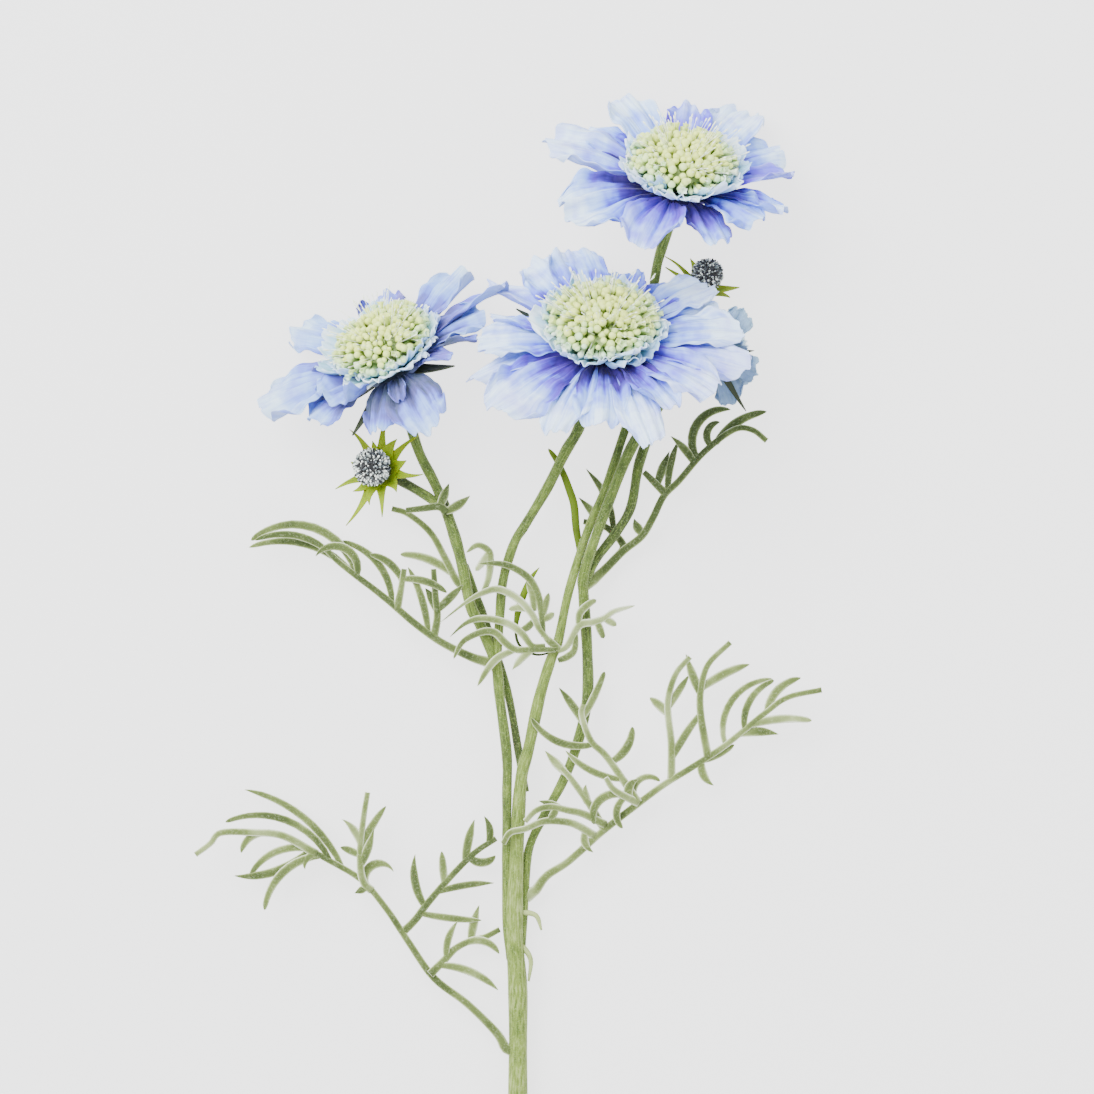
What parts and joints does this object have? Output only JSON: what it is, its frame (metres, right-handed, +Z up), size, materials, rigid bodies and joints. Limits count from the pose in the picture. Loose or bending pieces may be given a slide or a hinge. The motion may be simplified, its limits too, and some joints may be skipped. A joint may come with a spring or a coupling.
{
  "type": "scabiosa flower spray",
  "caption": "Cut spray of pale blue pincushion flowers with buds and finely cut leaves, lying on its back on a flat surface.",
  "frame": {"origin": "centre of the bounding box in X and Y, on the surface that the spray lies on", "axes": "+Y along the stem from its cut end to the blooms, +Z up away from the surface, +X to the right as seen from above with the blooms at the top"},
  "size_m": [0.1713, 0.3459, 0.0583],
  "materials": {
    "petal": "soft matt pale periwinkle, violet-blue towards the throat",
    "inner_petal": "soft matt pale mint and ice blue",
    "head": "waxy pale yellow-green florets",
    "sepal": "matt dark green",
    "bract": "matt yellow-green",
    "bud_head": "rough grey-blue with pale specks",
    "stem": "matt olive to sage green, downy",
    "leaf": "matt pale sage, downy"
  },
  "bodies": {
    "root": {"bloom_centre_petals": "petal", "bloom_centre_inner_petals": "inner_petal", "bloom_centre_head": "head", "bloom_centre_calyx": "sepal", "bloom_top_petals": "petal", "bloom_top_inner_petals": "inner_petal", "bloom_top_head": "head", "bloom_top_calyx": "sepal", "bloom_left_petals": "petal", "bloom_left_inner_petals": "inner_petal", "bloom_left_head": "head", "bloom_left_calyx": "sepal", "bloom_rear_petals": "petal", "bloom_rear_inner_petals": "inner_petal", "bloom_rear_head": "head", "bloom_rear_calyx": "sepal", "bud_left_bracts": "bract", "bud_left_head": "bud_head", "bud_rear_bracts": "bract", "bud_rear_head": "bud_head", "stem": "stem", "leaf_lower_left": "leaf", "leaf_lower_right": "leaf", "leaf_middle_left": "leaf", "leaf_upper_right": "leaf", "leaf_middle": "leaf", "leaf_left_fork": "leaf", "leaf_left_rear": "leaf", "bract_centre": "bract", "bract_small": "bract"}
  },
  "joints": []
}
